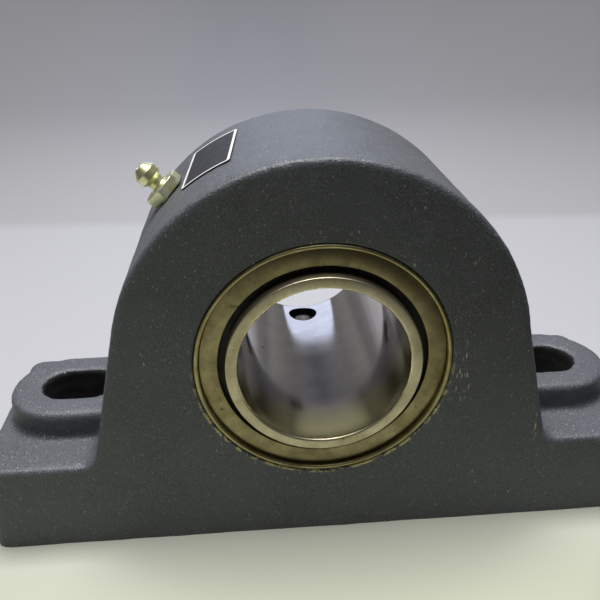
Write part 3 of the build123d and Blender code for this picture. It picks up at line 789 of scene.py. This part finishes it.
def node(tree, kind, sockets=(), **settings):
    """Adds a node, sets it up, and fills its sockets with values or with other nodes' outputs."""
    made = tree.nodes.new(kind)
    for setting, value in settings.items():
        setattr(made, setting, value)
    for socket, value in dict(sockets).items():
        if isinstance(value, bpy.types.NodeSocket):
            tree.links.new(value, made.inputs[socket])
        else:
            made.inputs[socket].default_value = value
    return made


def finished(tree, shader, colour, roughness, height, depth):
    """Leads a colour, a roughness, and a bump whose real depth is in metres, to the shader."""
    tree.links.new(colour, shader.inputs["Base Color"])
    tree.links.new(roughness, shader.inputs["Roughness"])
    bump = node(tree, "ShaderNodeBump", {"Height": height, "Distance": depth, "Strength": 1.0})
    tree.links.new(bump.outputs["Normal"], shader.inputs["Normal"])


# %% Sums
def reckon(tree, operation, first, second=0.0, third=0.0):
    """One sum on two or three values."""
    made = node(tree, "ShaderNodeMath", {0: first, 1: second, 2: third}, operation=operation)
    return made.outputs[0]


def times(tree, product, *factors):
    """Values multiplied together."""
    for factor in factors:
        product = reckon(tree, "MULTIPLY", product, factor)
    return product


def most(tree, largest, *others):
    """The largest of some values."""
    for other in others:
        largest = reckon(tree, "MAXIMUM", largest, other)
    return largest


def diagonal(tree, across, along):
    """The straight distance that two distances at right angles make."""
    squares = reckon(tree, "ADD", times(tree, across, across), times(tree, along, along))
    return reckon(tree, "SQRT", squares)


def spread(tree, value, low, high, to_low=0, to_high=1):
    """Stretches the part of a value between low and high over a new range, and clamps the rest."""
    made = node(tree, "ShaderNodeMapRange", {"Value": value, "From Min": low, "From Max": high,
                                             "To Min": to_low, "To Max": to_high})
    return made.outputs["Result"]


def mixed(tree, factor, first, second):
    """One colour laid over another by a factor."""
    made = node(tree, "ShaderNodeMix", {"Factor": factor, "A": first, "B": second}, data_type="RGBA")
    return made.outputs["Result"]


# %% Places and patterns
def place_on(tree):
    """Object coordinates: the place on the piece, in metres."""
    return node(tree, "ShaderNodeTexCoord").outputs["Object"]


def axes(tree, where):
    """A place taken apart into x, y and z."""
    return node(tree, "ShaderNodeSeparateXYZ", {"Vector": where}).outputs[:]


def drawn_out(tree, where, turn, height):
    """Places turned and then pressed together along z, which draws out the spots on them."""
    made = node(tree, "ShaderNodeMapping", {"Vector": where, "Rotation": turn,
                                            "Scale": (1, 1, height)})
    return made.outputs["Vector"]


def noise(tree, where, scale, detail=2, roughness=0.5):
    """A cloudy value from 0 to 1 with a number of grains per metre."""
    made = node(tree, "ShaderNodeTexNoise", {"Vector": where, "Scale": scale, "Detail": detail,
                                             "Roughness": roughness})
    return made.outputs["Fac"]


def spots(tree, where, scale, size, share):
    """Scattered spots: cells per metre, spot size as a part of a cell, and the share that has one."""
    cells = node(tree, "ShaderNodeTexVoronoi", {"Vector": where, "Scale": scale})
    chance = node(tree, "ShaderNodeSeparateColor", {"Color": cells.outputs["Color"]}).outputs["Red"]
    chosen = reckon(tree, "LESS_THAN", chance, share)
    strength = times(tree, chosen, spread(tree, chance, 0, share, 0.3, 1))
    return times(tree, strength, spread(tree, cells.outputs["Distance"], size, size * 0.5))


def from_shaft(tree, where):
    """The distance from the shaft's centre line, in metres."""
    x, _, z = axes(tree, where)
    return diagonal(tree, x, reckon(tree, "SUBTRACT", z, shaft_height))


def turning_marks(tree, where, scale, detail):
    """A noise that runs round the shaft in fine rings, like the marks of a turning tool."""
    _, y, _ = axes(tree, where)
    made = node(tree, "ShaderNodeCombineXYZ", {"X": from_shaft(tree, where), "Y": y})
    return noise(tree, made.outputs["Vector"], scale, detail)


# %% [markdown]
# ## Enamelled cast iron
#
# The enamel is a grey dip coat, thin enough for the sand grain to show through. A slow noise shifts
# its shade, a fine one gives it pale and dark grains, and dust specks of three sizes lie on it.

# %% Shade, grain and dust of the enamel
tree, shader = opened("cast_enamel", IOR=1.5)
where = place_on(tree)
shade = noise(tree, where, 60, 4, 0.6)
grain = noise(tree, where, 2600, 2)
base = mixed(tree, spread(tree, shade, 0.3, 0.7), shades(65, 68, 71), shades(75, 78, 83))
base = mixed(tree, spread(tree, grain, 0.48, 0.75, 0, 0.65), base, shades(106, 108, 112))
base = mixed(tree, spread(tree, grain, 0.50, 0.28, 0, 0.5), base, shades(48, 49, 49))
lying = drawn_out(tree, where, (0.2, 0.5, 0), 0.6)
slanting = drawn_out(tree, where, (0.4, 0.6, 0.5), 0.45)
dust = spots(tree, lying, 340, 0.11, 0.20)
fine_dust = times(tree, spots(tree, where, 1150, 0.34, 0.20), 0.55)
flecks = spots(tree, slanting, 560, 0.16, 0.05)
pale = most(tree, dust, fine_dust, flecks)
base = mixed(tree, times(tree, pale, 0.8), base, shades(172, 171, 162))
print("enamel with dust:", len(tree.nodes), "nodes")

# %% [markdown]
# Round the front opening the turning tool has chipped the enamel, and its lower edge is worn bare. On
# the right of the front face something has rubbed against it in three places, in upright scratches.

# %% Wear at the opening and on the front face
x, y, z = axes(tree, where)
on_front = reckon(tree, "LESS_THAN", y, front_face + 1.2 * mm)
radius = from_shaft(tree, where)


def around(middle, reach):
    """1 at a place in the front face, given as x and height in mm, falling to 0 at an x and z reach."""
    squares = []
    for value, centre, half_size in zip((x, z), middle, reach):
        part = reckon(tree, "DIVIDE", reckon(tree, "SUBTRACT", value, centre * mm), half_size * mm)
        squares.append(times(tree, part, part))
    return times(tree, spread(tree, reckon(tree, "ADD", *squares), 1, 0.2), on_front)


scratched = spots(tree, drawn_out(tree, where, (0, 0, 0), 0.24), 1500, 0.40, 0.45)
scuffs = times(tree, scratched, around((36.4, 50), (3.2, 12)))
rubbed = times(tree, scratched, around((58.2, 32.8), (1.8, 7)))
streaks = times(tree, scratched, around((47.3, 49.8), (2.8, 9)), 0.4)
beside_opening = spread(tree, radius, 37.5 * mm, 33.5 * mm)
chips = times(tree, spots(tree, slanting, 800, 0.28, 0.28), beside_opening, on_front)
marks = most(tree, scuffs, rubbed, streaks, chips)
base = mixed(tree, times(tree, marks, 0.85), base, shades(196, 192, 166))
from_edge = reckon(tree, "ABSOLUTE", reckon(tree, "SUBTRACT", radius, 33.75 * mm))
on_edge = spread(tree, from_edge, 0.5 * mm, 0.35 * mm)
low_side = spread(tree, z, shaft_height + 4 * mm, shaft_height - 16 * mm)
worn = spread(tree, noise(tree, where, 420, 3, 0.7), 0.46, 0.54)
edge_wear = times(tree, on_edge, low_side, worn, on_front)
base = mixed(tree, times(tree, edge_wear, 0.9), base, shades(186, 178, 122))
print("enamel with its wear:", len(tree.nodes), "nodes")

# %% [markdown]
# The bump of the enamel is made of two grain sizes of noise, and the dust stands out of it a little.

# %% Bump of the enamel
relief = reckon(tree, "ADD", noise(tree, where, 1400, 2), noise(tree, where, 2800, 1))
relief = reckon(tree, "MULTIPLY_ADD", pale, 0.4, relief)
finished(tree, shader, base, spread(tree, grain, 0.3, 0.7, 0.42, 0.58), relief, 0.11 * mm)
print("cast enamel:", len(tree.nodes), "nodes")

# %% [markdown]
# ## Machined and plated metals
#
# Turned steel keeps the tool's fine rings. They follow the shaft, so their pattern runs on the
# distance from the centre line and on the place along it, instead of on x, y and z. The rings and
# washers were plated and have aged to a brownish olive with small dark stains.

# %% Turned metals
def turned_metal(name, light, dark, roughness, ring_depth, stain=(60, 52, 30), stained=0.5):
    """Steel with turning rings, a slow change between two shades, and small dark stains."""
    tree, shader = opened(name, Metallic=1)
    where = place_on(tree)
    patches = noise(tree, where, 140, 4, 0.65)
    rings = turning_marks(tree, where, 3800, 2)
    clouds = spread(tree, noise(tree, where, 420, 3, 0.7), 0.62, 0.74)
    marks = times(tree, most(tree, spots(tree, where, 420, 0.22, 0.07), clouds), stained)
    colour = mixed(tree, spread(tree, patches, 0.35, 0.65), shades(*light), shades(*dark))
    colour = mixed(tree, spread(tree, rings, 0.55, 0.8, 0, 0.25), colour, shades(*dark))
    colour = mixed(tree, marks, colour, shades(*stain))
    clean = spread(tree, patches, 0.3, 0.7, roughness - 0.05, roughness + 0.07)
    rough = reckon(tree, "MULTIPLY_ADD", marks, 0.25, clean)
    finished(tree, shader, colour, rough, rings, ring_depth)
    print(name, "with", len(tree.nodes), "nodes")


turned_metal("plated_steel", (200, 191, 168), (174, 163, 133), 0.40, 0.010 * mm)
turned_metal("washer_plate", (148, 139, 108), (118, 107, 78), 0.30, 0.012 * mm, (50, 36, 18), 0.6)
turned_metal("carrier_plate", (176, 166, 128), (148, 137, 97), 0.36, 0.012 * mm)
turned_metal("machined_iron", (150, 142, 112), (112, 98, 66), 0.42, 0.012 * mm, (70, 44, 24), 0.8)

# %% [markdown]
# ## Ground bore
#
# The bore is ground for a sliding fit: nearly a mirror, with faint rings from the grinding wheel. It is
# duller towards the front, where shafts have been slid in. Towards its front end it is painted pale
# yellow, a painted reflection of the lit table that it mirrors. A few pits and one dent are dark.

# %% Ground steel
tree, shader = opened("ground_steel", Metallic=1)
where = place_on(tree)
_, y, _ = axes(tree, where)
rings = turning_marks(tree, where, 2600, 3)
patches = noise(tree, where, 160, 4, 0.6)
# Painted reflection: towards its front end the bore is painted pale yellow for the table it mirrors.
painted_table_reflection = spread(tree, y, -14 * mm, -26 * mm, 0, 0.8)
colour = mixed(tree, spread(tree, patches, 0.35, 0.7), shades(172, 169, 167), shades(160, 156, 152))
colour = mixed(tree, painted_table_reflection, colour, shades(245, 243, 180))
dent_place = (-15.2 * mm, 10.2 * mm, 37.5 * mm)
from_dent = node(tree, "ShaderNodeVectorMath", {0: where, 1: dent_place}, operation="DISTANCE")
dent = spread(tree, from_dent.outputs["Value"], 0.7 * mm, 0.4 * mm)
pits = most(tree, spots(tree, where, 300, 0.12, 0.04), dent)
colour = mixed(tree, pits, colour, shades(50, 44, 40))
dulled = spread(tree, y, 12 * mm, -6 * mm)
rough = reckon(tree, "MULTIPLY_ADD", dulled, 0.07, spread(tree, rings, 0.3, 0.7, 0.06, 0.10))
finished(tree, shader, colour, rough, rings, 0.002 * mm)
print("ground steel:", len(tree.nodes), "nodes")

# %% [markdown]
# ## Zinc, black oxide, brass, rubber and the plate
#
# The smaller finishes share one recipe: two shades, a roughness and a fine grain.

# %% Small finishes
def simple_finish(name, light, dark, roughness, metallic, depth=0.01 * mm):
    """Two shades mixed by a slow noise, with a fine bumpy grain."""
    tree, shader = opened(name, Metallic=metallic)
    where = place_on(tree)
    slow = noise(tree, where, 300, 3, 0.6)
    colour = mixed(tree, spread(tree, slow, 0.35, 0.65), shades(*light), shades(*dark))
    rough = spread(tree, slow, 0.3, 0.7, roughness - 0.06, roughness + 0.08)
    finished(tree, shader, colour, rough, noise(tree, where, 1200, 2), depth)
    return tree, shader


for row in (
    ("yellow_zinc", (236, 237, 212), (212, 208, 136), 0.32, 0.9),
    ("black_oxide", (58, 58, 60), (38, 38, 41), 0.42, 1),
    # near black for the slot walls: painted shade
    ("slot_painted_shade", (24, 24, 25), (17, 17, 18), 0.8, 0, 0.05 * mm),
    ("plate_foil", (208, 208, 203), (190, 190, 185), 0.5, 0),
    # the plate's dark print, which on the plate's rim is painted shade
    ("plate_print_and_rim_shade", (26, 27, 32), (20, 21, 26), 0.62, 0, 0.004 * mm),
    ("cage_brass", (214, 180, 104), (190, 152, 76), 0.32, 1),
    ("seal_rubber", (36, 36, 37), (28, 28, 29), 0.6, 0, 0.03 * mm),
    ("bearing_steel", (196, 196, 198), (180, 180, 183), 0.16, 1, 0.003 * mm),
):
    simple_finish(*row)
    print("small finish:", row[0])

# %% [markdown]
# ## Set screws
#
# The set screws are black all over except the ground cup at the tip, a pale ring with a dark middle.
# The ring's material measures the distance from the screw's own axis.

# %% Black screws with a ground cup
def screw_finish(name, angle):
    """Black oxide with a pale ring round the axis of the set screw that points out at an angle."""
    tree, shader = simple_finish(name, (52, 52, 54), (38, 38, 41), 0.42, 0.9)
    x, y, z = axes(tree, place_on(tree))
    height = reckon(tree, "SUBTRACT", z, shaft_height)
    across = reckon(tree, "SUBTRACT", times(tree, x, sin(radians(angle))),
                    times(tree, height, cos(radians(angle))))
    from_axis = diagonal(tree, across, reckon(tree, "SUBTRACT", y, screw_place * mm))
    ring = times(tree, spread(tree, from_axis, 3.1 * mm, 2.7 * mm),
                 spread(tree, from_axis, 0.8 * mm, 1.2 * mm))
    black = shader.inputs["Base Color"].links[0].from_socket
    tree.links.new(mixed(tree, ring, black, shades(196, 192, 190)), shader.inputs["Base Color"])


for name, angle in zip(("lower_screw_steel", "upper_screw_steel"), screw_angles):
    screw_finish(name, angle)
    print(name, "rings the axis at", angle, "degrees")

# %% [markdown]
# ## Giving the pieces to the model
#
# Each modelled piece rides on its body and stands for its measured node, which is hidden. The table
# also lists the record's finish for each piece. The check spring gets a mesh of its own.

# %% Ride and replace
for piece, body, finish_name, node_name in (
    (block, "block", "enamelled_cast_iron", "housing"),
    (front_carrier, "block", "coated_steel", "front_seal_carrier"),
    (rear_carrier, "block", "coated_steel", "rear_seal_carrier"),
    (washers[0], "block", "washer_steel", "front_seal_washer"),
    (washers[1], "block", "washer_steel", "rear_seal_washer"),
    (sleeve_ring, "shaft_ring", "coated_steel", "inner_ring"),
    (collar_ring, "shaft_ring", "coated_steel", "locking_collar"),
    (fitting, "block", "yellow_zinc", "grease_fitting"),
    (plate, "block", "plate_foil", "nameplate"),
    (snap_ring, "block", "black_steel", "snap_ring"),
    (coil, "block", "bearing_steel", "check_spring"),
):
    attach(piece, body)
    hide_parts(node_name)
    print(piece.name, "rides on", body, "and stands for", node_name)

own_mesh(coil)

# %% [markdown]
# The nodes inside the bearing keep their measured meshes and only get materials.

# %% Dress the measured nodes
inside = {
    "outer_ring": "bearing_steel", "front_rollers": "bearing_steel", "rear_rollers": "bearing_steel",
    "guide_ring": "bearing_steel", "lock_pin": "bearing_steel", "check_ball": "bearing_steel",
    "front_cage": "cage_brass", "rear_cage": "cage_brass",
    "front_seal": "seal_rubber", "rear_seal": "seal_rubber",
    "lower_set_screw": "lower_screw_steel", "upper_set_screw": "upper_screw_steel",
}
for node_name, finish_name in inside.items():
    for place in nodes[node_name].material_slots:
        place.material = finish(finish_name)
print("dressed", len(inside), "measured nodes")

# %% [markdown]
# ## Table and backdrop
#
# The block stands on a pale table against a soft grey backdrop. Both are one sheet with a cove, so
# there is no edge behind the block: the plane's back edge is extruded up into a wall, the wall is
# moved forward, and the fold is rounded by a wide bevel.

# %% Seamless backdrop
table_size, wall_height, wall_forward, cove = 4, 2, 0.9, 0.5
back_edge = table_size / 2
fold = back_edge - wall_forward
clear_selection()
bpy.ops.mesh.primitive_plane_add(size=table_size, location=(0, 0, 0))
backdrop = named("backdrop")
edit(backdrop)
pick("EDGE", lambda p: near(p.y, back_edge))
pull((0, 0, wall_height))
pick("VERT", lambda p: near(p.y, back_edge))
bpy.ops.transform.translate(value=(0, -wall_forward, 0))
pick("EDGE", lambda p: near(p.y, fold) and near(p.z, 0))
bpy.ops.mesh.bevel(offset=cove, segments=16)
tidy_normals()
select_only(backdrop)
bpy.ops.object.shade_smooth()
coat(backdrop, "paper")
backdrop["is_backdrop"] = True
print("backdrop:", len(backdrop.data.polygons), "faces")

# %% [markdown]
# The paper's colour changes with its place. The table is greenish near the camera. The wall has painted
# light and shade: high up it is painted darker in the middle and lighter at its sides. Far in front of
# the block, and more so to the right, the table has a painted shade, dark like the unlit part of the
# room around the lit table, so that the upper half of the metal mirrors darkness there.

# %% Colours of the table and the wall
tree, shader = opened("paper", Roughness=0.6)
x, y, z = axes(tree, place_on(tree))
in_front = spread(tree, y, 0.05, -0.06)
pale_table = mixed(tree, in_front, shades(162, 162, 164), shades(168, 171, 149))
# Painted shade: far in front of the block, and more to the right, the table is painted dark.
painted_shade_reach = reckon(tree, "MULTIPLY_ADD", y, -0.66, times(tree, x, 0.75))
table = mixed(tree, spread(tree, painted_shade_reach, 0.085, 0.175), pale_table, shades(54, 52, 44))
# Painted light and shade on the wall: darker high up in the middle, lighter towards the sides.
painted_light_sides = mixed(tree, spread(tree, z, 0.12, 0.25), shades(176, 174, 174), shades(232, 229, 228))
painted_shade_middle = mixed(tree, spread(tree, z, 0.45, 0.65), shades(136, 135, 137), shades(158, 154, 152))
toward_painted_light = spread(tree, reckon(tree, "ABSOLUTE", x), 0.05, 0.60)
high_wall_painted_light = mixed(tree, toward_painted_light, painted_shade_middle, painted_light_sides)
tilted = reckon(tree, "MULTIPLY_ADD", x, 0.066, y)
wall_with_painted_light = mixed(tree, spread(tree, tilted, 0.30, 0.90), shades(151, 150, 151), high_wall_painted_light)
behind = spread(tree, tilted, 0.225, 0.240)
tree.links.new(mixed(tree, behind, table, wall_with_painted_light), shader.inputs["Base Color"])
print("paper:", len(tree.nodes), "nodes")

# %% [markdown]
# ## Soft light
#
# A large soft box hangs above the block, and the pale table throws its light back at the front face.
# A low bluish one stands far behind it like a window, and the bore mirrors it. The camera doesn't see
# that one. The rest of the room gives only a dim light.

# %% Soft boxes and the dim room
def soft_box(name, shape, place, target, size, power, colour):
    """A soft box at a place, facing a target, with its width and height and its power in watts."""
    data = bpy.data.lights.new(name, "AREA")
    data.shape = shape
    data.size, data.size_y = size
    data.energy = power
    data.color = colour
    lamp = bpy.data.objects.new(name, data)
    bpy.context.scene.collection.objects.link(lamp)
    lamp.location = place
    lamp.rotation_euler = (Vector(place) - Vector(target)).to_track_quat("Z", "Y").to_euler()
    print(name, "gives", power, "W")
    return lamp


neutral, bluish = (0.97, 0.97, 1.0), (0.66, 0.75, 1.0)
soft_box("ceiling_box", "RECTANGLE", (-0.03, 0.02, 0.9), (0, 0.02, 0), (0.5, 0.5), 15.5, neutral)
window_box = soft_box("window_box", "ELLIPSE", (-0.011, 0.95, 0.395), (-0.011, 0, 0.395),
                      (0.60, 0.34), 1.03, bluish)
window_box.visible_camera = False
world = bpy.data.worlds.new("dim_room")
world.use_nodes = True
world.node_tree.nodes["Background"].inputs["Color"].default_value = shades(60, 60, 62)
bpy.context.scene.world = world

# %% [markdown]
# ## The dressed model's box
#
# The box of the dressed model is measured like the one at the start, and printed.

# %% Print the dressed model's box
visual_box = [list(corner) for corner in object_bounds()]
print("visual box in mm:", [in_mm(corner) for corner in visual_box])
